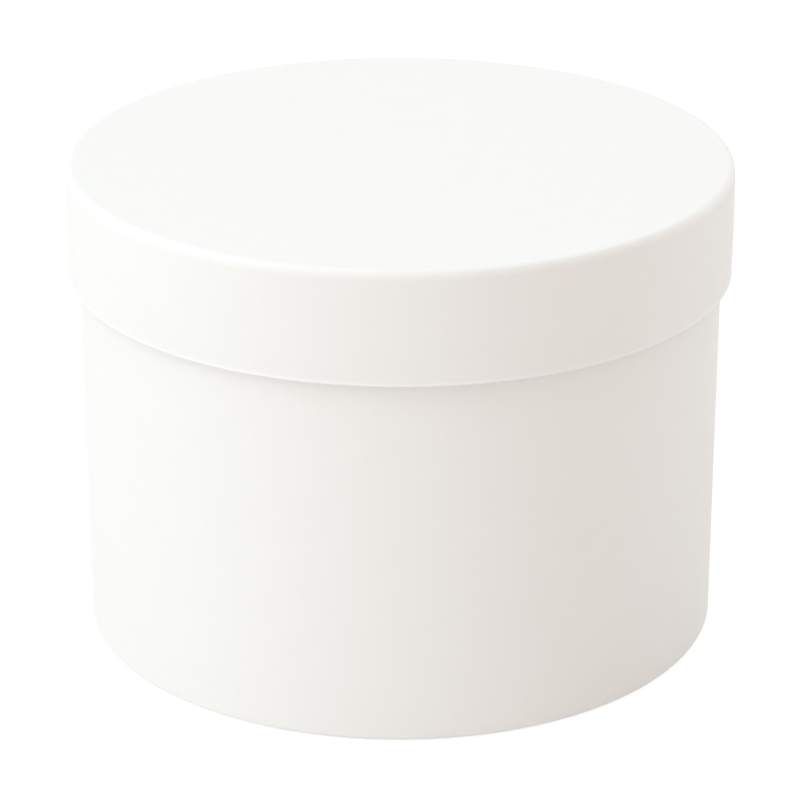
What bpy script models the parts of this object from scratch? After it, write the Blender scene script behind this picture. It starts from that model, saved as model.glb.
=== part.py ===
"""Round paper-covered board box with a slip-over lid.

Metres, +Z up. The origin is the middle of the face that the box rests on. Every board, paper and tape
is an object of its own. The base's pieces hang on one empty and the lid's on another, which stands on
the box's axis at the lid's lower edge: moving that empty up takes the lid off.
"""

import math
from collections import namedtuple

import bmesh
import bpy
from mathutils import Matrix, Vector

# Overall sizes
LID_DIAMETER = 0.200
BOX_HEIGHT = 0.146
LID_HEIGHT = 0.034

# Thickness of each board, of the paper and of the joint tape
WALL_BOARD_THICKNESS = 0.002
BOTTOM_BOARD_THICKNESS = 0.002
RIM_BOARD_THICKNESS = 0.0016
TOP_BOARD_THICKNESS = 0.002
PAPER_THICKNESS = 0.00015
TAPE_THICKNESS = 0.00015

# Clearances: a glue line under a paper, a disc of board in its tube, the lid round the base and on its
# rim, and a paper disc inside a lining
GLUE_GAP = 0.0001
BOARD_GAP = 0.0003
SLIP_CLEARANCE = 0.0006
LID_SEAT_GAP = 0.0003
DISC_CLEARANCE = 0.0005

# Rounded edges: how far the lid's runs across its top and down its side, the radius of every fold of
# paper, and the most of a wall's thickness that each may take
LID_EDGE_WIDTH = 0.0018
LID_EDGE_DROP = 0.003
FOLD_RADIUS = 0.0008
WIDEST_EDGE_SHARE = 0.98
WIDEST_FOLD_SHARE = 0.4

# How far each paper is turned over an edge, and how far a cover or a lining stops short of one
BASE_TURN_IN = 0.012
BASE_TURN_UNDER = 0.012
RIM_TURN_IN = 0.012
COVER_TURN_DOWN = 0.008
BOTTOM_COVER_SET_IN = 0.003
LINING_SET_BACK = 0.0025

# The butt joints of the two rolled boards, and the tape inside each
BUTT_GAP = 0.0003
TAPE_WIDTH = 0.020
TAPE_END_CLEARANCE = 0.0008
BASE_JOINT_ANGLE = math.radians(90)
LID_JOINT_ANGLE = math.radians(67.5)
CUT_OVERRUN = 0.001

# Fineness and shading of the turned shapes
TURN_STEPS = 64
EDGE_STEPS = 4
FOLD_STEPS = 2
RIGHT_ANGLE = math.pi / 2
SHARP_ANGLE = math.radians(50)
POLE_MERGE = 0.00001

# A paper with its glue line, and the layer inside a wall that holds turned-in paper or joint tape
PAPER_LAYER = PAPER_THICKNESS + GLUE_GAP
INNER_LAYER = max(PAPER_THICKNESS, TAPE_THICKNESS) + GLUE_GAP

# Radii of the lid's pieces, from the outside inwards
LID_RADIUS = LID_DIAMETER / 2
COVER_RADIUS = LID_RADIUS - PAPER_LAYER
RIM_BOARD_RADIUS = COVER_RADIUS - PAPER_LAYER
RIM_BOARD_BORE = RIM_BOARD_RADIUS - RIM_BOARD_THICKNESS
RIM_TURN_IN_BORE = RIM_BOARD_BORE - PAPER_LAYER
RIM_LINING_RADIUS = RIM_BOARD_BORE - INNER_LAYER - GLUE_GAP
RIM_LINING_BORE = RIM_LINING_RADIUS - PAPER_THICKNESS

# Radii of the base's pieces, from the outside inwards
BASE_RADIUS = RIM_LINING_BORE - SLIP_CLEARANCE
WALL_BOARD_RADIUS = BASE_RADIUS - PAPER_LAYER
WALL_BOARD_BORE = WALL_BOARD_RADIUS - WALL_BOARD_THICKNESS
BASE_TURN_IN_BORE = WALL_BOARD_BORE - PAPER_LAYER
WALL_LINING_RADIUS = WALL_BOARD_BORE - INNER_LAYER - GLUE_GAP
WALL_LINING_BORE = WALL_LINING_RADIUS - PAPER_THICKNESS

# Heights in the lid, from its own lower edge upwards
RIM_BOARD_BOTTOM = PAPER_LAYER
TOP_BOARD_TOP = LID_HEIGHT - PAPER_LAYER
TOP_BOARD_BOTTOM = TOP_BOARD_TOP - TOP_BOARD_THICKNESS
LID_LINING_TOP = TOP_BOARD_BOTTOM - GLUE_GAP
LID_LINING_BOTTOM = LID_LINING_TOP - PAPER_THICKNESS

# Heights in the base, from the table upwards
LID_BOTTOM = BOX_HEIGHT - LID_HEIGHT
BASE_RIM = LID_BOTTOM + LID_LINING_BOTTOM - LID_SEAT_GAP
WALL_BOARD_TOP = BASE_RIM - PAPER_LAYER
TURN_UNDER_BOTTOM = PAPER_LAYER
BOARD_BOTTOM = TURN_UNDER_BOTTOM + PAPER_LAYER
FLOOR_BOARD_TOP = BOARD_BOTTOM + BOTTOM_BOARD_THICKNESS
FLOOR_LINING_BOTTOM = FLOOR_BOARD_TOP + GLUE_GAP

# The roundings in use, outside the paper: how far each takes from the corner, across and in height
Rounding = namedtuple("Rounding", "across down")
LID_EDGE_ACROSS = min(LID_EDGE_WIDTH, WIDEST_EDGE_SHARE * RIM_BOARD_THICKNESS + PAPER_LAYER)
LID_EDGE = Rounding(LID_EDGE_ACROSS, LID_EDGE_DROP)
RIM_FOLD_RADIUS = min(FOLD_RADIUS, WIDEST_FOLD_SHARE * RIM_BOARD_THICKNESS + PAPER_LAYER)
RIM_FOLD = Rounding(RIM_FOLD_RADIUS, RIM_FOLD_RADIUS)
BASE_FOLD_RADIUS = min(FOLD_RADIUS, WIDEST_FOLD_SHARE * WALL_BOARD_THICKNESS + PAPER_LAYER)
BASE_FOLD = Rounding(BASE_FOLD_RADIUS, BASE_FOLD_RADIUS)
SQUARE = Rounding(0, 0)

# Paper and board colours, as linear red, green and blue
COATED_WHITE = (0.88, 0.87, 0.85)
LINING_WHITE = (0.84, 0.83, 0.80)
GREYBOARD = (0.36, 0.33, 0.28)
KRAFT_TAPE = (0.50, 0.36, 0.22)

# How matt each is, from 0 for a mirror to 1
COATED_ROUGHNESS = 0.6
LINING_ROUGHNESS = 0.85
GREYBOARD_ROUGHNESS = 0.95
TAPE_ROUGHNESS = 0.8

Corner = namedtuple("Corner", "radius height rounding steps", defaults=(SQUARE, FOLD_STEPS))


def clear_scene():
    """Removes the objects that the file starts with."""
    for obj in list(bpy.data.objects):
        bpy.data.objects.remove(obj)


def new_collection(name):
    """A collection in the scene."""
    made = bpy.data.collections.new(name)
    bpy.context.scene.collection.children.link(made)
    return made


def new_frame(name, height):
    """An empty on the box's axis, which carries the pieces of one body."""
    made = bpy.data.objects.new(name, None)
    made.location.z = height
    parts.objects.link(made)
    return made


def new_finish(name, colour, roughness):
    """A Principled material with no metal in it."""
    made = bpy.data.materials.new(name)
    made.use_nodes = True
    made.diffuse_color = (*colour, 1)
    surface = made.node_tree.nodes["Principled BSDF"]
    surface.inputs["Base Color"].default_value = (*colour, 1)
    surface.inputs["Roughness"].default_value = roughness
    surface.inputs["Metallic"].default_value = 0
    return made


def outward(start, end):
    """The unit normal on the left of a run, which is the outer side of a clockwise outline."""
    along = (end - start).normalized()
    return Vector((-along.y, along.x))


def rounded_path(corners, closed):
    """Places with their outward normals, along a clockwise path whose right-angled corners are rounded."""
    places = [Vector((corner.radius, corner.height)) for corner in corners]
    normals = [outward(start, end) for start, end in zip(places, places[1:] + places[:1])]
    if not closed:
        normals[-1] = normals[-2]
    path = []
    for index, corner in enumerate(corners):
        leaving = normals[index]
        arriving = normals[index - 1] if closed or index else leaving
        if arriving == leaving:
            path.append((places[index], leaving))
        elif not min(corner.rounding):
            path.append((places[index], arriving + leaving))
        else:
            path += arc(places[index], arriving, leaving, corner)
    return path


def stretched(vector, across, down):
    """The vector with its two parts multiplied."""
    return Vector((vector.x * across, vector.y * down))


def arc(place, arriving, leaving, corner):
    """The points that round one corner with a quarter of an ellipse, and their normals."""
    across, down = corner.rounding
    centre = place - stretched(arriving + leaving, across, down)
    points = []
    for step in range(corner.steps + 1):
        turn = RIGHT_ANGLE * step / corner.steps
        towards = arriving * math.cos(turn) + leaving * math.sin(turn)
        normal = stretched(towards, 1 / across, 1 / down).normalized()
        points.append((centre + stretched(towards, across, down), normal))
    return points


def under_fold(rounding):
    """The rounding of a board's corner, one layer of paper inside a fold."""
    return Rounding(max(rounding.across - PAPER_LAYER, 0), max(rounding.down - PAPER_LAYER, 0))


def turned(name, outline, finish, frame, closed):
    """A piece turned round the box's axis, from an outline that runs down its outer side."""
    links = [(index, index + 1) for index in range(len(outline) - 1)]
    if closed:
        links.append((len(outline) - 1, 0))
    mesh = bpy.data.meshes.new(name)
    mesh.from_pydata([(radius, 0, height) for radius, height in outline], links, [])
    mesh.materials.append(finish)
    piece = bpy.data.objects.new(name, mesh)
    piece.parent = frame
    parts.objects.link(piece)
    screw = piece.modifiers.new("turn", "SCREW")
    screw.axis = "Z"
    screw.steps = TURN_STEPS
    screw.render_steps = TURN_STEPS
    screw.use_merge_vertices = True
    screw.merge_threshold = POLE_MERGE
    return piece


def disc(name, radius, bottom, thickness, finish, frame):
    """A flat round piece of board or paper."""
    top = bottom + thickness
    outline = [(0, top), (radius, top), (radius, bottom), (0, bottom)]
    return turned(name, outline, finish, frame, closed=False)


def ring(name, corners, finish, frame):
    """A tube of board, paper or tape, from its four corners, clockwise."""
    outline = [place for place, _ in rounded_path(corners, closed=True)]
    return turned(name, outline, finish, frame, closed=True)


def square_ring(name, radius, bore, bottom, top, finish, frame):
    """A tube with square edges."""
    corners = [Corner(radius, top), Corner(radius, bottom), Corner(bore, bottom), Corner(bore, top)]
    return ring(name, corners, finish, frame)


def folded_paper(name, corners, finish, frame, closed):
    """A sheet of paper, one thickness inside the path that its outer side follows."""
    path = rounded_path(corners, closed=False)
    outer = [place for place, _ in path]
    inner = [place - PAPER_THICKNESS * normal for place, normal in path]
    return turned(name, outer + inner[::-1], finish, frame, closed)


def joint_box(name, radius, bore, width, bottom, top, angle, frame):
    """A box that spans a wall from bore to radius, of the given width round it, at a joint's angle."""
    depth = radius - bore + 2 * CUT_OVERRUN
    height = top - bottom + 2 * CUT_OVERRUN
    made = bmesh.new()
    bmesh.ops.create_cube(made, size=1, matrix=Matrix.Diagonal((depth, width, height, 1)))
    mesh = bpy.data.meshes.new(name)
    made.to_mesh(mesh)
    made.free()
    box = bpy.data.objects.new(name, mesh)
    middle = (radius + bore) / 2
    box.location = (middle * math.cos(angle), middle * math.sin(angle), (top + bottom) / 2)
    box.rotation_euler.z = angle
    box.parent = frame
    box.hide_render = True
    box.display_type = "WIRE"
    cutters.objects.link(box)
    return box


def shape_by(piece, box, operation):
    """Cuts the box out of a piece, or keeps only what lies inside it."""
    boolean = piece.modifiers.new("joint", "BOOLEAN")
    boolean.operation = operation
    boolean.solver = "EXACT"
    boolean.object = box


def joint_tape(name, bore, bottom, top, angle, frame):
    """A strip of tape on the inside of a rolled board, across its butt joint."""
    radius = bore - GLUE_GAP
    inside = radius - TAPE_THICKNESS
    tape = square_ring(name, radius, inside, bottom, top, tape_finish, frame)
    box = joint_box(name + "_width", radius, inside, TAPE_WIDTH, bottom, top, angle, frame)
    shape_by(tape, box, "INTERSECT")


def butt_joint(board, radius, bore, bottom, top, angle, frame):
    """Opens the slit where a rolled board's ends meet."""
    box = joint_box(board.name + "_slit", radius, bore, BUTT_GAP, bottom, top, angle, frame)
    shape_by(board, box, "DIFFERENCE")


def make_base_wall_board():
    corner = under_fold(BASE_FOLD)
    corners = [
        Corner(WALL_BOARD_RADIUS, WALL_BOARD_TOP, corner),
        Corner(WALL_BOARD_RADIUS, BOARD_BOTTOM, corner),
        Corner(WALL_BOARD_BORE, BOARD_BOTTOM),
        Corner(WALL_BOARD_BORE, WALL_BOARD_TOP, corner),
    ]
    board = ring("base_wall_board", corners, board_finish, base)
    span = (WALL_BOARD_RADIUS, WALL_BOARD_BORE, BOARD_BOTTOM, WALL_BOARD_TOP)
    butt_joint(board, *span, BASE_JOINT_ANGLE, base)


def make_base_wall_joint_tape():
    bottom = FLOOR_LINING_BOTTOM + TAPE_END_CLEARANCE
    top = BASE_RIM - BASE_TURN_IN - TAPE_END_CLEARANCE
    joint_tape("base_wall_joint_tape", WALL_BOARD_BORE, bottom, top, BASE_JOINT_ANGLE, base)


def make_base_bottom_board():
    radius = WALL_BOARD_BORE - BOARD_GAP
    disc("base_bottom_board", radius, BOARD_BOTTOM, BOTTOM_BOARD_THICKNESS, board_finish, base)


def make_base_outer_wrap():
    """The paper round the wall, turned in over the rim and under the bottom."""
    corners = [
        Corner(BASE_TURN_IN_BORE, BASE_RIM - BASE_TURN_IN),
        Corner(BASE_TURN_IN_BORE, BASE_RIM, BASE_FOLD),
        Corner(BASE_RADIUS, BASE_RIM, BASE_FOLD),
        Corner(BASE_RADIUS, TURN_UNDER_BOTTOM, BASE_FOLD),
        Corner(BASE_RADIUS - BASE_TURN_UNDER, TURN_UNDER_BOTTOM),
    ]
    folded_paper("base_outer_wrap", corners, wrap_finish, base, closed=True)


def make_base_bottom_cover():
    """The paper disc under the box, which is the face that it rests on."""
    radius = BASE_RADIUS - BOTTOM_COVER_SET_IN
    disc("base_bottom_cover", radius, 0, PAPER_THICKNESS, wrap_finish, base)


def make_base_wall_lining():
    top = BASE_RIM - LINING_SET_BACK
    span = (WALL_LINING_RADIUS, WALL_LINING_BORE, FLOOR_LINING_BOTTOM, top)
    square_ring("base_wall_lining", *span, lining_finish, base)


def make_base_floor_lining():
    radius = WALL_LINING_BORE - DISC_CLEARANCE
    disc("base_floor_lining", radius, FLOOR_LINING_BOTTOM, PAPER_THICKNESS, lining_finish, base)


def make_lid_rim_board():
    corner = under_fold(RIM_FOLD)
    corners = [
        Corner(RIM_BOARD_RADIUS, TOP_BOARD_TOP, under_fold(LID_EDGE), EDGE_STEPS),
        Corner(RIM_BOARD_RADIUS, RIM_BOARD_BOTTOM, corner),
        Corner(RIM_BOARD_BORE, RIM_BOARD_BOTTOM, corner),
        Corner(RIM_BOARD_BORE, TOP_BOARD_TOP),
    ]
    board = ring("lid_rim_board", corners, board_finish, lid)
    span = (RIM_BOARD_RADIUS, RIM_BOARD_BORE, RIM_BOARD_BOTTOM, TOP_BOARD_TOP)
    butt_joint(board, *span, LID_JOINT_ANGLE, lid)


def make_lid_rim_joint_tape():
    bottom = RIM_TURN_IN + TAPE_END_CLEARANCE
    top = LID_LINING_TOP - TAPE_END_CLEARANCE
    joint_tape("lid_rim_joint_tape", RIM_BOARD_BORE, bottom, top, LID_JOINT_ANGLE, lid)


def make_lid_top_board():
    radius = RIM_BOARD_BORE - BOARD_GAP
    disc("lid_top_board", radius, TOP_BOARD_BOTTOM, TOP_BOARD_THICKNESS, board_finish, lid)


def make_lid_top_cover():
    """The paper over the lid, turned down over its rounded edge."""
    corners = [
        Corner(0, LID_HEIGHT),
        Corner(COVER_RADIUS, LID_HEIGHT, LID_EDGE, EDGE_STEPS),
        Corner(COVER_RADIUS, LID_HEIGHT - COVER_TURN_DOWN),
    ]
    folded_paper("lid_top_cover", corners, wrap_finish, lid, closed=False)


def make_lid_rim_wrap():
    """The paper round the rim, from below the rounded edge, turned in at the lower edge."""
    corners = [
        Corner(LID_RADIUS, LID_HEIGHT - LID_EDGE.down),
        Corner(LID_RADIUS, 0, RIM_FOLD),
        Corner(RIM_TURN_IN_BORE, 0, RIM_FOLD),
        Corner(RIM_TURN_IN_BORE, RIM_TURN_IN),
    ]
    folded_paper("lid_rim_wrap", corners, wrap_finish, lid, closed=True)


def make_lid_rim_lining():
    span = (RIM_LINING_RADIUS, RIM_LINING_BORE, LINING_SET_BACK, LID_LINING_TOP)
    square_ring("lid_rim_lining", *span, lining_finish, lid)


def make_lid_top_lining():
    radius = RIM_LINING_BORE - DISC_CLEARANCE
    disc("lid_top_lining", radius, LID_LINING_BOTTOM, PAPER_THICKNESS, lining_finish, lid)


def shade(piece):
    """Makes the turned shape the piece's own mesh, smooth round the box and sharp at its edges."""
    graph = bpy.context.evaluated_depsgraph_get()
    mesh = bpy.data.meshes.new_from_object(piece.evaluated_get(graph))
    piece.modifiers.clear()
    piece.data = mesh
    mesh.name = piece.name
    mesh.shade_smooth()
    mesh.set_sharp_from_angle(angle=SHARP_ANGLE)


clear_scene()
parts = new_collection("round_box")
cutters = new_collection("cutters")
base = new_frame("base_frame", 0)
lid = new_frame("lid_frame", LID_BOTTOM)

wrap_finish = new_finish("coated_wrap_paper", COATED_WHITE, COATED_ROUGHNESS)
lining_finish = new_finish("lining_paper", LINING_WHITE, LINING_ROUGHNESS)
board_finish = new_finish("greyboard", GREYBOARD, GREYBOARD_ROUGHNESS)
tape_finish = new_finish("joint_tape", KRAFT_TAPE, TAPE_ROUGHNESS)

make_base_wall_board()
make_base_wall_joint_tape()
make_base_bottom_board()
make_base_outer_wrap()
make_base_bottom_cover()
make_base_wall_lining()
make_base_floor_lining()

make_lid_rim_board()
make_lid_rim_joint_tape()
make_lid_top_board()
make_lid_top_cover()
make_lid_rim_wrap()
make_lid_rim_lining()
make_lid_top_lining()

bpy.context.view_layer.update()
for piece in [obj for obj in parts.objects if obj.type == "MESH"]:
    shade(piece)
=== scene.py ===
# %% [markdown]
# # A round paper-covered box with a slip-over lid
#
# The real box is two greyboard tubes, each closed by a board disc, and every board is covered with
# paper. Only the paper shows, so this lesson is about sheets of paper: how each one goes round the
# box, over an edge and out of sight, and what its surface does to soft light. The measured model is
# loaded first and stays as it is. Each sheet is then made anew, fine enough to look at closely.

# %% Load the measured model
import math
from collections import namedtuple

import bpy
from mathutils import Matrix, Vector


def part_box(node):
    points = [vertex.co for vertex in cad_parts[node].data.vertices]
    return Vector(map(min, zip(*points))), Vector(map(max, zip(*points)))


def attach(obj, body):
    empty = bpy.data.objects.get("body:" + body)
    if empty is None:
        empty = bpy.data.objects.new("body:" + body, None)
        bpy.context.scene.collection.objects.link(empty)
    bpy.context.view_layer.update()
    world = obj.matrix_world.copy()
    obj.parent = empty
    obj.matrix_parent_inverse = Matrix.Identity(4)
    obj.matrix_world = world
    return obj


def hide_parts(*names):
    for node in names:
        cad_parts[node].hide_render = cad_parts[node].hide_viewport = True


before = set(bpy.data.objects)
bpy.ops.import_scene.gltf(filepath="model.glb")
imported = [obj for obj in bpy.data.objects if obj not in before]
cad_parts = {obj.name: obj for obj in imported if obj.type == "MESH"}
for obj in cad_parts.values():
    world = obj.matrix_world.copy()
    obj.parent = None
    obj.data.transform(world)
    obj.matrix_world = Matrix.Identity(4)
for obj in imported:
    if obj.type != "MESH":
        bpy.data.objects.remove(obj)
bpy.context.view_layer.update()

# %% [markdown]
# ## Sizes
#
# Nothing is measured twice. The radius and the heights of each sheet come from the box round its
# node in the measured model. Only what such a box of numbers can't say is named here: the paper's
# thickness, the glue line, and how sharply paper bends over an edge.

# %% Sizes that the sheets share
PAPER = 0.00015
GLUE = 0.0001
TURN_IN = 0.012
TURN_UNDER = 0.012
Bend = namedtuple("Bend", "across down")
FOLD = Bend(0.0008, 0.0008)
LID_EDGE = Bend(0.0018, 0.003)
WHOLE_TURN = 2 * math.pi
RIGHT_ANGLE = math.pi / 2


def reach(node):
    """The outer radius of a node, its lowest height and its highest."""
    low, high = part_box(node)
    return high.x, low.z, high.z


for node in ("base_outer_wrap", "lid_rim_wrap", "lid_top_cover"):
    radius, low, high = reach(node)
    print(f"{node}: radius {radius * 1000:.2f} mm, from {low * 1000:.2f} to {high * 1000:.2f} mm")

# %% [markdown]
# ## Writing node trees as sums
#
# A node tree is a formula. Three small classes let it be written as one. Wire stands for an output
# of a node and knows + - * /. Tree makes a node from its type, its settings and what goes into its
# sockets. Node is what Tree hands back, and its outputs are picked from it by name. The same three
# serve for shapes and for materials.

# %% A wire that can be added and multiplied
class Wire:
    """An output socket, with which sums are written."""

    def __init__(self, tree, socket):
        self.tree = tree
        self.socket = socket

    def maths(self, operation, *values):
        return self.tree.add("ShaderNodeMath", {"operation": operation}, dict(enumerate(values)))[0]

    def __add__(self, other):
        return self.maths("ADD", self, other)

    def __radd__(self, other):
        return self.maths("ADD", other, self)

    def __sub__(self, other):
        return self.maths("SUBTRACT", self, other)

    def __rsub__(self, other):
        return self.maths("SUBTRACT", other, self)

    def __mul__(self, other):
        return self.maths("MULTIPLY", self, other)

    def __rmul__(self, other):
        return self.maths("MULTIPLY", other, self)

    def __truediv__(self, other):
        return self.maths("DIVIDE", self, other)

    def __floordiv__(self, other):
        return self.maths("FLOOR", self / other)

    def __gt__(self, other):
        return self.maths("GREATER_THAN", self, other)

    def cos(self):
        return self.maths("COSINE", self)

    def sin(self):
        return self.maths("SINE", self)


# %% A tree that makes its nodes by one method
def pick(sockets, key):
    """A socket by its number, or the one in use that has this name."""
    if isinstance(key, int):
        return sockets[key]
    return next(socket for socket in sockets if socket.name == key and socket.enabled)


class Node:
    """A node whose outputs are read by name or number."""

    def __init__(self, tree, node):
        self.tree = tree
        self.node = node

    def __getitem__(self, key):
        return Wire(self.tree, pick(self.node.outputs, key))


class Tree:
    """A node tree in the making."""

    def __init__(self, tree):
        tree.nodes.clear()
        self.tree = tree

    def add(self, kind, settings=(), values=()):
        """A node of this kind: its settings first, then the values or wires of its sockets."""
        node = self.tree.nodes.new(kind)
        for name, value in dict(settings).items():
            setattr(node, name, value)
        for key, value in dict(values).items():
            self.plug(pick(node.inputs, key), value)
        return Node(self, node)

    def plug(self, socket, value):
        """Gives a socket a wire, several wires or a plain value."""
        if isinstance(value, list):
            for wire in value:
                self.tree.links.new(wire.socket, socket)
        elif isinstance(value, Wire):
            self.tree.links.new(value.socket, socket)
        else:
            socket.default_value = value

    def blend(self, share, first, second):
        """One colour or the other, or a share between them."""
        values = {"Factor": share, "A": first, "B": second}
        return self.add("ShaderNodeMix", {"data_type": "RGBA"}, values)["Result"]

    def spread(self, value, low, high, to_low=0, to_high=1):
        """A value moved softly from one range to another, and held at its ends."""
        settings = {"interpolation_type": "SMOOTHSTEP"}
        values = {"Value": value, "From Min": low, "From Max": high}
        values.update({"To Min": to_low, "To Max": to_high})
        return self.add("ShaderNodeMapRange", settings, values)["Result"]


# %% [markdown]
# ## A sheet as a line
#
# Cut the box through its middle and each sheet shows as a thin line that runs along a board and
# bends over its edges. That line is all that has to be drawn. It is followed so that the
# side of the paper that shows lies on the right. Each of its points also says which way the paper
# faces there, how much it is bent, and how far the sheet is slit into tabs.

# %% The line of a sheet, with its bends rounded
NO_SLIT = -1
Corner = namedtuple("Corner", "radius height bend slit", defaults=(None, NO_SLIT))
Point = namedtuple("Point", "place facing fold slit")
BEND_STEPS = 7
LONGEST_STEP = 0.006
BESIDE_BEND = 0.0007
SHORT_RUN = 4 * BESIDE_BEND


def right_side(start, end):
    """The unit vector on the right of the way from one place to the next."""
    along = (end - start).normalized()
    return Vector((along.y, -along.x))


def stretched(vector, across, down):
    """The vector made longer or shorter across and down."""
    return Vector((vector.x * across, vector.y * down))


def round_bend(place, before, after, bend):
    """The points of a rounded corner, a quarter of an ellipse. The taller, the less of a fold."""
    centre = place - stretched(before + after, *bend)
    sharpness = min(1, (FOLD.down / bend.down) ** 2)
    points = []
    for step in range(BEND_STEPS + 1):
        turn = RIGHT_ANGLE * step / BEND_STEPS
        towards = before * math.cos(turn) + after * math.sin(turn)
        facing = stretched(towards, 1 / bend.across, 1 / bend.down).normalized()
        fold = sharpness * math.sin(2 * turn)
        points.append(Point(centre + stretched(towards, *bend), facing, fold, NO_SLIT))
    return points


def straight_run(start, end):
    """Points between two others, closer together beside a bend."""
    length = (end.place - start.place).length
    steps = math.ceil(length / LONGEST_STEP)
    shares = [step / steps for step in range(1, steps)]
    if length > SHORT_RUN:
        shares += [BESIDE_BEND / length, 1 - BESIDE_BEND / length]
    is_slit = NO_SLIT not in (start.slit, end.slit)
    points = []
    for share in sorted(shares):
        place = start.place.lerp(end.place, share)
        slit = start.slit + share * (end.slit - start.slit) if is_slit else NO_SLIT
        points.append(Point(place, right_side(start.place, end.place), 0, slit))
    return points


def sheet_line(corners):
    """All points of a sheet's line."""
    places = [Vector((corner.radius, corner.height)) for corner in corners]
    sides = [right_side(start, end) for start, end in zip(places, places[1:])]
    groups = []
    for index, corner in enumerate(corners):
        before = sides[max(index - 1, 0)]
        after = sides[min(index, len(sides) - 1)]
        if corner.bend:
            groups.append(round_bend(places[index], before, after, corner.bend))
        else:
            facing = (before + after).normalized()
            groups.append([Point(places[index], facing, 0, corner.slit)])
    line = groups[0]
    for group in groups[1:]:
        line = line + straight_run(line[-1], group[0]) + group
    return line


def line_mesh(name, corners):
    """The line as a mesh whose points carry their facing, fold and slit."""
    line = sheet_line(corners)
    mesh = bpy.data.meshes.new(name)
    places = [(point.place.x, 0, point.place.y) for point in line]
    mesh.from_pydata(places, [(index, index + 1) for index in range(len(line) - 1)], [])
    facings = [part for point in line for part in (point.facing.x, 0, point.facing.y)]
    mesh.attributes.new("facing", "FLOAT_VECTOR", "POINT").data.foreach_set("vector", facings)
    for value in ("fold", "slit"):
        attribute = mesh.attributes.new(value, "FLOAT", "POINT")
        attribute.data.foreach_set("value", [getattr(point, value) for point in line])
    return mesh


# %% [markdown]
# ## Turning the line into a sheet
#
# Real paper is cut as a strip and rolled round the board until its end lies over its start, or it
# is a disc. Both are the same rule: the line turned round the box's axis. A grid does it in
# Geometry Nodes, with one column of points for each step round the box and one row for each point
# of the line. Where a strip's end lies over its start, it climbs by one thickness of paper. Between
# tabs, one very narrow column is left out, and the slit widens inwards. The last steps give the
# sheet its thickness, away from the side that shows.

# %% The inputs of the tree that rolls a sheet
SHEET_INPUTS = (
    ("Line", "NodeSocketGeometry", None),
    ("Tabs", "NodeSocketInt", 36),
    ("Steps in a tab", "NodeSocketInt", 12),
    ("Slit width", "NodeSocketFloat", 0.001),
    ("Slit opening", "NodeSocketFloat", 0.14),
    ("Start", "NodeSocketFloat", 0.0),
    ("Turn", "NodeSocketFloat", WHOLE_TURN),
    ("Lap rise", "NodeSocketFloat", 0.0),
    ("Lap ramp", "NodeSocketFloat", 0.03),
    ("Thickness", "NodeSocketFloat", PAPER),
    ("Waviness", "NodeSocketFloat", 0.00003),
    ("Tab unevenness", "NodeSocketFloat", 0.0006),
    ("Seed", "NodeSocketInt", 1),
    ("Finish", "NodeSocketMaterial", None),
)


def new_shape_tree(name, inputs):
    """An empty Geometry Nodes tree with these inputs, and the wires that bring them in."""
    group = bpy.data.node_groups.new(name, "GeometryNodeTree")
    for label, kind, value in inputs:
        socket = group.interface.new_socket(label, in_out="INPUT", socket_type=kind)
        if value is not None:
            socket.default_value = value
    group.interface.new_socket("Shape", in_out="OUTPUT", socket_type="NodeSocketGeometry")
    tree = Tree(group)
    return tree, tree.add("NodeGroupInput")


# %% Reading the line, and placing points round the axis
def sample(tree, line, kind, value, row):
    """What the line's point in this row says."""
    settings = {"data_type": kind, "domain": "POINT"}
    values = {"Geometry": line, "Value": value, "Index": row}
    return tree.add("GeometryNodeSampleIndex", settings, values)["Value"]


def sample_named(tree, line, kind, name, row):
    """What one of the line's own attributes says in this row."""
    named = tree.add("GeometryNodeInputNamedAttribute", {"data_type": kind}, {"Name": name})
    return sample(tree, line, kind, named["Attribute"], row)


def parts_of(tree, vector):
    """The three numbers of a vector."""
    made = tree.add("ShaderNodeSeparateXYZ", (), {"Vector": vector})
    return made["X"], made["Y"], made["Z"]


def on_circle(tree, radius, angle, height):
    """A place round the box's axis."""
    values = {"X": radius * angle.cos(), "Y": radius * angle.sin(), "Z": height}
    return tree.add("ShaderNodeCombineXYZ", (), values)["Vector"]


def store(tree, shape, name, domain, value):
    """The shape with one more attribute, for its material to read."""
    values = {"Geometry": shape, "Name": name, "Value": value}
    settings = {"data_type": "FLOAT", "domain": domain}
    return tree.add("GeometryNodeStoreNamedAttribute", settings, values)["Geometry"]


def shared_out(number, size):
    """Which group of this size a number falls in, and its place in the group."""
    group = number // size
    return group, number - group * size


# %% Each point of a grid goes to its place in the sheet
NOISE_SIZE = 10
NOISE_SCALE = 2.5
NOISE_DETAIL = 2


def unevenness(tree, given, tab):
    """How far a tab lies off its circle, from -1 to 1."""
    values = {"Min": -1, "Max": 1, "ID": tab, "Seed": given["Seed"]}
    return tree.add("FunctionNodeRandomValue", {"data_type": "FLOAT"}, values)["Value"]


def waviness(tree, given, radius, angle, height):
    """Slow waves over the sheet, from 0 to 1."""
    place = on_circle(tree, radius * NOISE_SIZE, angle, height * NOISE_SIZE + given["Seed"])
    values = {"Vector": place, "Scale": NOISE_SCALE, "Detail": NOISE_DETAIL}
    return tree.add("ShaderNodeTexNoise", {"noise_dimensions": "3D"}, values)[0]


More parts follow.
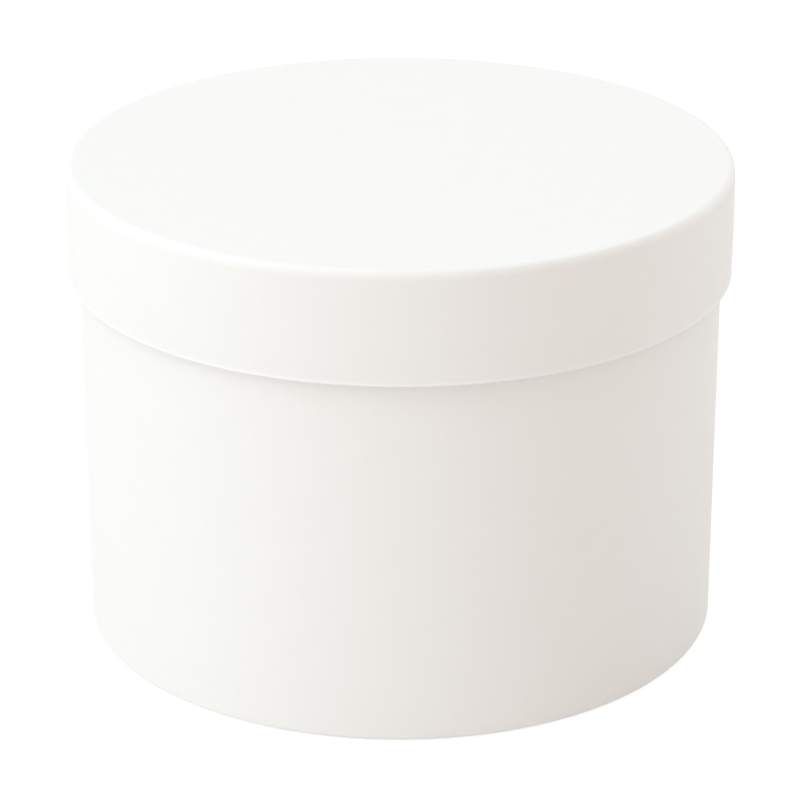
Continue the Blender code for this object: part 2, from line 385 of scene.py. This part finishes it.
def roll_grid(tree, given, rows, index):
    """A grid whose rows lie on the line and whose columns go round the box."""
    line, tabs, steps = given["Line"], given["Tabs"], given["Steps in a tab"]
    size = {"Size X": 1, "Size Y": 1, "Vertices X": tabs * steps + 1, "Vertices Y": rows}
    grid = tree.add("GeometryNodeMeshGrid", (), size)["Mesh"]
    column, row = shared_out(index, rows)
    tab, step = shared_out(column, steps)

    tab_turn = given["Turn"] / tabs
    slit = sample_named(tree, line, "FLOAT", "slit", row)
    depth = slit.maths("MAXIMUM", slit, 0)
    half = (tab_turn - given["Slit width"]) / 2
    aside = (step / (steps - 1) * 2 - 1) * half * (1 - given["Slit opening"] * depth)
    rolled = tab * tab_turn + half + aside
    angle = given["Start"] + rolled

    position = tree.add("GeometryNodeInputPosition")[0]
    radius, _, height = parts_of(tree, sample(tree, line, "FLOAT_VECTOR", position, row))
    out, _, up = parts_of(tree, sample_named(tree, line, "FLOAT_VECTOR", "facing", row))
    uneven = unevenness(tree, given, tab)
    wave = waviness(tree, given, radius, angle, height)
    climb = tree.spread(rolled, WHOLE_TURN - given["Lap ramp"], WHOLE_TURN, 0, given["Lap rise"])
    proud = climb - wave * given["Waviness"]
    radius = radius + out * proud + uneven * given["Tab unevenness"] * depth
    values = {"Geometry": grid, "Position": on_circle(tree, radius, angle, height + up * proud)}
    placed = tree.add("GeometryNodeSetPosition", (), values)["Geometry"]
    return store(tree, placed, "fold", "POINT", sample_named(tree, line, "FLOAT", "fold", row))


# %% Slits between the tabs, and the thickness of the paper
LAST_STEP = 1.5  # the last of a tab's steps is one before the next tab; the half is for rounding
MERGE_DISTANCE = 0.000002


def cut_slits(tree, given, sheet, rows, index):
    """The sheet without the narrow column of faces between one tab and the next."""
    face_column, face_row = shared_out(index, rows - 1)
    _, face_step = shared_out(face_column, given["Steps in a tab"])
    slit = sample_named(tree, given["Line"], "FLOAT", "slit", face_row + 1)
    in_slit = (face_step > given["Steps in a tab"] - LAST_STEP) * (slit > NO_SLIT / 2)
    values = {"Geometry": sheet, "Selection": in_slit}
    return tree.add("GeometryNodeDeleteGeometry", {"domain": "FACE"}, values)["Geometry"]


def merged(tree, shape):
    """The shape with the points that share a place made one, which closes seams and poles."""
    values = {"Geometry": shape, "Distance": MERGE_DISTANCE}
    return tree.add("GeometryNodeMergeByDistance", (), values)["Geometry"]


def thicken(tree, given, shown):
    """The sheet with a back and a cut edge, behind the side that shows."""
    turned = tree.add("GeometryNodeFlipFaces", (), {"Mesh": shown})["Mesh"]
    values = {"Mesh": turned, "Offset Scale": given["Thickness"], "Individual": False}
    thick = tree.add("GeometryNodeExtrudeMesh", {"mode": "FACES"}, values)
    hidden = store(tree, thick["Mesh"], "cut_edge", "FACE", thick["Side"])
    both = tree.add("GeometryNodeJoinGeometry", (), {"Geometry": [shown, hidden]})["Geometry"]
    return merged(tree, both)


# %% The tree that rolls a sheet
def make_sheet_tree():
    tree, given = new_shape_tree("rolled_sheet", SHEET_INPUTS)
    size = tree.add("GeometryNodeAttributeDomainSize", (), {"Geometry": given["Line"]})
    rows = size["Point Count"]
    index = tree.add("GeometryNodeInputIndex")[0]
    rolled = roll_grid(tree, given, rows, index)
    slit = cut_slits(tree, given, rolled, rows, index)
    whole = thicken(tree, given, merged(tree, slit))
    real = tree.add("GeometryNodeRealizeInstances", (), {"Geometry": whole})["Geometry"]
    values = {"Geometry": real, "Material": given["Finish"]}
    done = tree.add("GeometryNodeSetMaterial", (), values)["Geometry"]
    tree.add("NodeGroupOutput", (), {"Shape": done})
    return tree.tree


sheet_tree = make_sheet_tree()
print("the tree that rolls a sheet has", len(sheet_tree.nodes), "nodes")

# %% Making a piece with the tree
SHARP = math.radians(40)


def evaluated_mesh(piece):
    """The piece's own mesh becomes what its modifiers make of it."""
    graph = bpy.context.evaluated_depsgraph_get()
    mesh = bpy.data.meshes.new_from_object(piece.evaluated_get(graph))
    piece.modifiers.clear()
    piece.data = mesh
    mesh.name = piece.name
    mesh.shade_smooth()
    mesh.set_sharp_from_angle(angle=SHARP)


def roll_sheet(name, body, node, corners, values):
    """A sheet of paper, made from its line and put on its body in place of the measured node."""
    piece = bpy.data.objects.new(name, line_mesh(name + "_line", corners))
    bpy.context.scene.collection.objects.link(piece)
    roll = piece.modifiers.new("roll", "NODES")
    roll.node_group = sheet_tree
    items = sheet_tree.interface.items_tree
    inputs = {item.name: item.identifier for item in items if item.in_out == "INPUT"}
    for label, value in values.items():
        roll[inputs[label]] = value
    evaluated_mesh(piece)
    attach(piece, body)
    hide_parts(node)
    print(f"{name}: {len(piece.data.polygons)} faces")


# %% [markdown]
# ## Finishes
#
# The outside is matt coated paper. Up close it isn't one white: the pulp is cloudy, a few specks of
# bark or dust are caught in it, and where it is bent the coating is pressed smooth and pale, with a
# little painted highlight added along the folds. Its cut edge shows the bare core. The lining is
# plain uncoated paper, rougher and a little warmer.

# %% A material to start from
def new_finish(name):
    """An empty material and its tree."""
    finish = bpy.data.materials.new(name)
    finish.use_nodes = True
    return finish, Tree(finish.node_tree)


def noise(tree, place, scale, detail=2, roughness=0.5):
    """A cloudy pattern from 0 to 1, so many to the metre."""
    values = {"Vector": place, "Scale": scale, "Detail": detail, "Roughness": roughness}
    return tree.add("ShaderNodeTexNoise", (), values)["Fac"]


def read(tree, name):
    """A value that the sheet carries."""
    return tree.add("ShaderNodeAttribute", {"attribute_name": name})["Fac"]


def finish_surface(tree, colour, roughness, height, relief):
    """The Principled surface that every finish ends in."""
    bump = {"Strength": 1, "Distance": relief, "Height": height}
    normal = tree.add("ShaderNodeBump", (), bump)["Normal"]
    values = {"Base Color": colour, "Roughness": roughness, "Normal": normal}
    surface = tree.add("ShaderNodeBsdfPrincipled", (), values)["BSDF"]
    tree.add("ShaderNodeOutputMaterial", (), {"Surface": surface})


def tell_nodes(*finishes):
    """Prints how many nodes each finish is made of."""
    for finish in finishes:
        print(f"{finish.name}: {len(finish.node_tree.nodes)} nodes")


# %% Coated wrapping paper
COATED = (0.88, 0.87, 0.85, 1)
COATED_CLOUD = (0.872, 0.861, 0.84, 1)
COATED_FOLD_PALE_AND_HIGHLIGHT = (0.90, 0.893, 0.875, 1)
PAPER_CORE = (0.84, 0.82, 0.78, 1)
SPECK = (0.62, 0.55, 0.46, 1)
COATED_ROUGHNESS = 0.56
COATED_RELIEF = 0.00003
FOLD_SHOWS = 0.9
FOLD_POLISH = 0.12


def specks(tree, place, per_metre, size, kept, strength):
    """Small round specks, a share of which is kept, and how strongly they show."""
    values = {"Vector": place, "Scale": per_metre}
    cells = tree.add("ShaderNodeTexVoronoi", {"feature": "F1"}, values)
    chance = tree.add("ShaderNodeSeparateColor", (), {"Color": cells["Color"]})["Red"]
    inside = 1 - tree.spread(cells["Distance"], 0, size * per_metre)
    return inside * (1 - (chance > kept)) * strength


def make_coated_paper():
    finish, tree = new_finish("coated_wrap_paper")
    place = tree.add("ShaderNodeTexCoord")["Object"]
    cloud = noise(tree, place, scale=130, detail=4)
    grain = noise(tree, place, scale=1400, detail=3)
    tooth = noise(tree, place, scale=3000, roughness=0.6)
    dust = specks(tree, place, per_metre=70, size=0.00035, kept=0.3, strength=0.35)
    fold = read(tree, "fold")
    cloudy = tree.spread(cloud * 0.7 + tooth * 0.3, 0.35, 0.75)
    colour = tree.blend(cloudy, COATED, COATED_CLOUD)
    colour = tree.blend(dust, colour, SPECK)
    # paler along the folds: partly the pressed coating, partly a painted highlight
    colour = tree.blend(fold * FOLD_SHOWS, colour, COATED_FOLD_PALE_AND_HIGHLIGHT)
    colour = tree.blend(read(tree, "cut_edge"), colour, PAPER_CORE)
    roughness = COATED_ROUGHNESS + cloud * 0.08 - fold * FOLD_POLISH
    height = grain * 0.3 + cloud * 0.3 + tooth * 0.25
    finish_surface(tree, colour, roughness, height, COATED_RELIEF)
    return finish


coated_paper = make_coated_paper()
tell_nodes(coated_paper)

# %% Uncoated lining paper
LINING = (0.84, 0.83, 0.80, 1)
LINING_CLOUD = (0.81, 0.795, 0.755, 1)
LINING_ROUGHNESS = 0.82
LINING_RELIEF = 0.00006


def make_lining_paper():
    finish, tree = new_finish("uncoated_lining_paper")
    place = tree.add("ShaderNodeTexCoord")["Object"]
    cloud = noise(tree, place, scale=160, detail=5, roughness=0.6)
    grain = noise(tree, place, scale=1100, detail=3, roughness=0.7)
    bark = specks(tree, place, per_metre=160, size=0.0003, kept=0.4, strength=0.4)
    cloudy = tree.spread(cloud * 0.3 + grain * 0.7, 0.35, 0.7)
    colour = tree.blend(cloudy, LINING, LINING_CLOUD)
    colour = tree.blend(bark, colour, SPECK)
    colour = tree.blend(read(tree, "cut_edge"), colour, PAPER_CORE)
    finish_surface(tree, colour, LINING_ROUGHNESS + grain * 0.1, grain + cloud * 0.5, LINING_RELIEF)
    return finish


lining_paper = make_lining_paper()
tell_nodes(lining_paper)

# %% [markdown]
# ## The base's papers
#
# The outer paper starts under the bottom, where it is slit into tabs so that it can lie flat on a
# smaller circle, climbs the wall, bends over the rim and ends inside. Its two ends lap at the back.
# A disc under the bottom hides the tabs, and inside their ring it sinks in by a hair. The lining
# goes in last: a strip round the wall, which steps outwards by a hair where the turned-in paper
# behind it ends, and a disc on the floor. All of them are lines of a few corners, given to the same
# tree.

# %% The paper round the base
LAP = 0.012
LAP_RAMP = 0.0025
LAP_GLUE = GLUE / 5
SLIT_START = 0.0016
base_radius, base_low, base_high = reach("base_outer_wrap")
base_hem = reach("base_wall_lining")[0] + GLUE


def strip_values(radius, seam, finish, seed):
    """What a strip needs whose ends lap at the seam: its turn, and the climb over its start."""
    lap = LAP / radius
    return {
        "Start": math.radians(seam) - lap / 2,
        "Turn": WHOLE_TURN + lap,
        "Lap rise": PAPER + LAP_GLUE,
        "Lap ramp": LAP_RAMP / radius,
        "Finish": finish,
        "Seed": seed,
    }


roll_sheet(
    "base_outer_paper", "base", "base_outer_wrap",
    [
        Corner(base_radius - TURN_UNDER, base_low, slit=1),
        Corner(base_radius - SLIT_START, base_low, slit=0),
        Corner(base_radius, base_low, bend=FOLD),
        Corner(base_radius, base_high, bend=FOLD),
        Corner(base_hem, base_high, bend=FOLD),
        Corner(base_hem, base_high - TURN_IN),
    ],
    strip_values(base_radius, seam=90, finish=coated_paper, seed=3),
)

# %% The disc under the base
cover_radius, cover_low, _ = reach("base_bottom_cover")
tab_end = base_radius - TURN_UNDER
SINK = 0.0002
SINK_RUN = 0.0025

roll_sheet(
    "base_bottom_paper", "base", "base_bottom_cover",
    [
        Corner(0, cover_low + SINK),
        Corner(tab_end - SINK_RUN, cover_low + SINK),
        Corner(tab_end, cover_low),
        Corner(cover_radius, cover_low),
    ],
    {"Finish": coated_paper, "Seed": 5, "Waviness": 0.0},
)

# %% The lining of the wall and of the floor
lining_radius, lining_low, lining_high = reach("base_wall_lining")
hem_end = base_high - TURN_IN
HEM_STEP = 0.00006
STEP_RUN = 0.0012

roll_sheet(
    "base_wall_lining_paper", "base", "base_wall_lining",
    [
        Corner(lining_radius - PAPER, lining_high),
        Corner(lining_radius - PAPER, hem_end),
        Corner(lining_radius - PAPER + HEM_STEP, hem_end - STEP_RUN),
        Corner(lining_radius - PAPER + HEM_STEP, lining_low),
    ],
    strip_values(lining_radius, seam=78, finish=lining_paper, seed=7),
)

floor_radius, _, floor_high = reach("base_floor_lining")
roll_sheet(
    "base_floor_lining_paper", "base", "base_floor_lining",
    [Corner(floor_radius, floor_high), Corner(0, floor_high)],
    {"Finish": lining_paper, "Seed": 9},
)

# %% [markdown]
# ## The lid's papers
#
# A disc covers the top and is turned down over the rounded edge. A strip then goes round the rim
# over that hem, bends under the rim's lower edge and ends inside. The hem is pressed into the board
# under it. The strip is drawn in a little towards both edges, so the rim is very slightly
# barrel-shaped, and almost no step shows where the strip ends. At the lower edge the fold stands
# off the board by a hair. Its upper side catches the light from above, which is the thin bright
# line that runs round the lid. Inside, a strip and a disc of lining paper cover the board, as in
# the base.

# %% The paper over the lid
top_radius, top_low, top_high = reach("lid_top_cover")
HEM_PRESSED = GLUE
HEM_RUN = 0.0004

roll_sheet(
    "lid_top_paper", "lid", "lid_top_cover",
    [
        Corner(top_radius - HEM_PRESSED, top_low),
        Corner(top_radius - HEM_PRESSED, top_high - LID_EDGE.down - 2 * HEM_RUN),
        Corner(top_radius, top_high - LID_EDGE.down - HEM_RUN),
        Corner(top_radius, top_high, bend=LID_EDGE),
        Corner(0, top_high),
    ],
    {"Finish": coated_paper, "Seed": 11},
)

# %% The paper round the rim
rim_radius, rim_low, rim_high = reach("lid_rim_wrap")
rim_hem = reach("lid_rim_lining")[0] + GLUE
DRAWN_IN = 0.0002
BELLY_SHARE = 0.4
RIM_STRETCHES = 6
RIM_FOLD = Bend(0.0005, 0.0005)
MILLIMETRE = 0.001
# inwards and up from the corner of the fold, in millimetres
FOLD_STANDS_OFF = ((0.0, 0.55), (0.11, 0.75), (0.18, 0.97), (0.19, 1.4), (0.17, 2.6))
rim_belly = rim_low + BELLY_SHARE * (rim_high - rim_low)


def rim_place(share):
    """A corner on the barrel-shaped side: share 0 is at the lower edge and 1 at the upper one."""
    height = rim_low + share * (rim_high - rim_low)
    end = rim_high if height > rim_belly else rim_low
    return Corner(rim_radius - DRAWN_IN * ((height - rim_belly) / (end - rim_belly)) ** 2, height)


def beside_fold(inwards, up):
    """A corner just above the fold, so many millimetres inwards and up from it."""
    return Corner(rim_radius - inwards * MILLIMETRE, rim_low + up * MILLIMETRE)


roll_sheet(
    "lid_rim_paper", "lid", "lid_rim_wrap",
    [
        Corner(rim_hem, rim_low + TURN_IN),
        Corner(rim_hem, rim_low, bend=FOLD),
        Corner(rim_radius, rim_low, bend=RIM_FOLD),
        *[beside_fold(*place) for place in FOLD_STANDS_OFF],
        *[rim_place(step / RIM_STRETCHES) for step in range(1, RIM_STRETCHES + 1)],
    ],
    strip_values(rim_radius, seam=67.5, finish=coated_paper, seed=13),
)

# %% The lid's lining
inner_radius, inner_low, inner_high = reach("lid_rim_lining")
rim_hem_end = rim_low + TURN_IN

roll_sheet(
    "lid_rim_lining_paper", "lid", "lid_rim_lining",
    [
        Corner(inner_radius - PAPER + HEM_STEP, inner_high),
        Corner(inner_radius - PAPER + HEM_STEP, rim_hem_end + STEP_RUN),
        Corner(inner_radius - PAPER, rim_hem_end),
        Corner(inner_radius - PAPER, inner_low),
    ],
    strip_values(inner_radius, seam=80, finish=lining_paper, seed=17),
)

under_radius, under_low, _ = reach("lid_top_lining")
roll_sheet(
    "lid_top_lining_paper", "lid", "lid_top_lining",
    [Corner(0, under_low), Corner(under_radius, under_low)],
    {"Finish": lining_paper, "Seed": 19},
)

# %% [markdown]
# ## Boards and tape
#
# The boards and the tape over their butt joints stay as measured, because paper hides them on every
# side. They still get their own finishes: grey board is pressed waste paper, full of dark and light
# fibres, and kraft tape is brown with long fibres.

# %% Greyboard and kraft tape
GREYBOARD = (0.36, 0.33, 0.28, 1)
GREYBOARD_PALE = (0.47, 0.44, 0.39, 1)
GREYBOARD_DARK = (0.20, 0.18, 0.16, 1)
KRAFT = (0.50, 0.36, 0.22, 1)
KRAFT_DARK = (0.38, 0.26, 0.15, 1)
BOARD_ROUGHNESS = 0.9
BOARD_RELIEF = 0.0002
TAPE_ROUGHNESS = 0.72
TAPE_RELIEF = 0.00008
FIBRE_WAY = (1, 1, 0.12)


def make_greyboard():
    finish, tree = new_finish("raw_greyboard")
    place = tree.add("ShaderNodeTexCoord")["Object"]
    cloud = noise(tree, place, scale=90, detail=5, roughness=0.65)
    fibres = noise(tree, place, scale=900, detail=4, roughness=0.7)
    scraps = specks(tree, place, per_metre=400, size=0.0006, kept=0.5, strength=1)
    colour = tree.blend(tree.spread(fibres, 0.4, 0.75), GREYBOARD, GREYBOARD_PALE)
    colour = tree.blend(tree.spread(cloud, 0.35, 0.7, to_high=0.5), colour, GREYBOARD)
    colour = tree.blend(scraps, colour, GREYBOARD_DARK)
    finish_surface(tree, colour, BOARD_ROUGHNESS + fibres * 0.1, fibres + cloud * 0.5, BOARD_RELIEF)
    return finish


def make_kraft_tape():
    finish, tree = new_finish("kraft_joint_tape")
    place = tree.add("ShaderNodeTexCoord")["Object"]
    values = {0: place, 1: FIBRE_WAY}
    drawn_out = tree.add("ShaderNodeVectorMath", {"operation": "MULTIPLY"}, values)["Vector"]
    fibres = noise(tree, drawn_out, scale=1500, detail=4, roughness=0.7)
    cloud = noise(tree, place, scale=120, detail=3)
    colour = tree.blend(tree.spread(fibres, 0.35, 0.75), KRAFT, KRAFT_DARK)
    finish_surface(tree, colour, TAPE_ROUGHNESS + cloud * 0.15, fibres + cloud * 0.4, TAPE_RELIEF)
    return finish


greyboard = make_greyboard()
kraft_tape = make_kraft_tape()
tell_nodes(greyboard, kraft_tape)
for name in ("base_wall_board", "base_bottom_board", "lid_rim_board", "lid_top_board"):
    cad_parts[name].material_slots[0].material = greyboard
for name in ("base_wall_joint_tape", "lid_rim_joint_tape"):
    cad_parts[name].material_slots[0].material = kraft_tape

# %% [markdown]
# ## The studio
#
# The box stands on a pale floor in even, slightly warm light. Two soft boxes stand on the left, one
# low and one at half height. A large one hangs over the box, and a weak one stands low behind on
# the right. At the front right, where the box's shadow falls, a patch of painted shade darkens the
# floor as the light sees it, so the floor throws up less light and the foot of the box is darker
# there. To the camera, floor and world are white, and the box still keeps its faint shadow on the
# floor.

# %% The floor
FLOOR_PALE = (0.8, 0.79, 0.78, 1)
FLOOR_PAINTED_SHADE = (0.68, 0.67, 0.66, 1)
PAINTED_SHADE_MIDDLE = (0.14, -0.08, 0)
PAINTED_SHADE_SOLID = 0.05
PAINTED_SHADE_FADED = 0.11
FLOOR_SEEN = (0.2, 0.2, 0.2, 1)
SEEN_GLOW = 0.84
WHITE = (1, 1, 1, 1)
FLOOR_REACH = 4
FLOOR_HOLE = 0.09
FLOOR_STEPS = 96


def white_when_seen(tree, lighting, white):
    """The second shader to the camera, a mirror or glass, and the first to light on its way."""
    path = tree.add("ShaderNodeLightPath")
    seen = path["Is Camera Ray"] + path["Is Glossy Ray"] + path["Is Transmission Ray"]
    values = {"Fac": seen.maths("MINIMUM", seen, 1), 1: lighting, 2: white}
    return tree.add("ShaderNodeMixShader", (), values)["Shader"]


def make_floor_finish():
    finish, tree = new_finish("studio_floor")
    place = tree.add("ShaderNodeTexCoord")["Object"]
    values = {0: place, 1: PAINTED_SHADE_MIDDLE}
    away = tree.add("ShaderNodeVectorMath", {"operation": "DISTANCE"}, values)["Value"]
    # painted shade: a darker patch of floor at the front right, seen by light but not by the camera
    colour = tree.blend(tree.spread(away, PAINTED_SHADE_SOLID, PAINTED_SHADE_FADED), FLOOR_PAINTED_SHADE, FLOOR_PALE)
    pale = tree.add("ShaderNodeBsdfDiffuse", (), {"Color": colour})["BSDF"]
    shaded = tree.add("ShaderNodeBsdfDiffuse", (), {"Color": FLOOR_SEEN})["BSDF"]
    glow = tree.add("ShaderNodeEmission", (), {"Color": WHITE, "Strength": SEEN_GLOW})["Emission"]
    white = tree.add("ShaderNodeAddShader", (), {0: shaded, 1: glow})["Shader"]
    mixed = white_when_seen(tree, pale, white)
    tree.add("ShaderNodeOutputMaterial", (), {"Surface": mixed})
    return finish


def make_floor():
    """A flat ring: the hole lies under the box, and lets light reach its underside."""
    angles = [WHOLE_TURN * step / FLOOR_STEPS for step in range(FLOOR_STEPS)]
    circles = [[(math.cos(angle) * size, math.sin(angle) * size, 0) for angle in angles]
               for size in (FLOOR_HOLE, FLOOR_REACH)]
    pairs = [(step, (step + 1) % FLOOR_STEPS) for step in range(FLOOR_STEPS)]
    faces = [(step, step + FLOOR_STEPS, after + FLOOR_STEPS, after) for step, after in pairs]
    mesh = bpy.data.meshes.new("floor")
    mesh.from_pydata(circles[0] + circles[1], [], faces)
    mesh.materials.append(make_floor_finish())
    floor = bpy.data.objects.new("floor", mesh)
    bpy.context.scene.collection.objects.link(floor)
    return floor


floor = make_floor()
print(f"{floor.name}: {len(floor.data.polygons)} faces, {FLOOR_REACH} m to its edge")

# %% The world
WORLD_LIGHT = (0.84, 0.735, 0.695, 1)


def make_world():
    world = bpy.data.worlds.new("studio")
    world.use_nodes = True
    bpy.context.scene.world = world
    tree = Tree(world.node_tree)
    soft = tree.add("ShaderNodeBackground", (), {"Color": WORLD_LIGHT, "Strength": 1})["Background"]
    white = tree.add("ShaderNodeBackground", (), {"Color": WHITE, "Strength": 1})["Background"]
    mixed = white_when_seen(tree, soft, white)
    tree.add("ShaderNodeOutputWorld", (), {"Surface": mixed})
    return world


world = make_world()
print(f"{world.name}: {len(world.node_tree.nodes)} nodes")

# %% The lamps
MIDDLE = Vector((0, 0, 0.073))
LAMP_DISTANCE = 2.2
Lamp = namedtuple("Lamp", "name azimuth elevation size brightness colour")
LAMPS = (
    Lamp("key_low", -65, 12, 1.2, 0.21, (0.81, 0.96, 1)),
    Lamp("key_high", -65, 45, 1.2, 0.2, (0.66, 0.9, 1)),
    Lamp("over", 0, 89, 2, 0.25, (0.48, 0.89, 1)),
    Lamp("fill", 120, 8, 1.2, 0.163, (0.69, 0.97, 1)),
)


def direction(azimuth, elevation):
    """A unit vector: azimuth 0 is towards the camera, and 90 to its right."""
    turn, lift = math.radians(azimuth), math.radians(elevation)
    level = math.cos(lift)
    return Vector((math.sin(turn) * level, -math.cos(turn) * level, math.sin(lift)))


def put_facing(thing, aim, azimuth, elevation, distance):
    """Links a lamp or camera this far from a place, turned to look at it."""
    way = direction(azimuth, elevation)
    thing.location = aim + way * distance
    thing.rotation_euler = way.to_track_quat("Z", "Y").to_euler()
    bpy.context.scene.collection.objects.link(thing)


def make_lamp(lamp):
    """A square soft box. With a brightness of 1 it lights what faces it to white."""
    light = bpy.data.lights.new(lamp.name, "AREA")
    light.shape = "RECTANGLE"
    light.size = light.size_y = lamp.size
    light.energy = lamp.brightness * math.pi ** 2 * LAMP_DISTANCE ** 2
    light.color = lamp.colour
    holder = bpy.data.objects.new(lamp.name, light)
    put_facing(holder, MIDDLE, lamp.azimuth, lamp.elevation, LAMP_DISTANCE)
    print(f"{lamp.name}: {light.energy:.1f} W")


for lamp in LAMPS:
    make_lamp(lamp)

# %% [markdown]
# ## The camera
#
# A long lens from about a metre away, looking down by about 23 degrees, gives the outline of the
# picture. Its angle, distance, lens and aim were found by fitting the outlines of lid and base.

# %% The camera
VIEW_ELEVATION = 22.875
VIEW_DISTANCE = 1.0214
VIEW_LENS = 149.12
VIEW_AIM = Vector((-0.000093, 0, 0.06623))
SENSOR_WIDTH = 36
CLIP_START = 0.01


def make_camera():
    data = bpy.data.cameras.new("camera")
    data.lens = VIEW_LENS
    data.sensor_width = SENSOR_WIDTH
    data.clip_start = CLIP_START
    camera = bpy.data.objects.new("camera", data)
    put_facing(camera, VIEW_AIM, 0, VIEW_ELEVATION, VIEW_DISTANCE)
    bpy.context.scene.camera = camera
    return camera


camera = make_camera()
print("camera:", [round(value, 3) for value in camera.location], "m")
bpy.context.scene.view_settings.view_transform = "Standard"
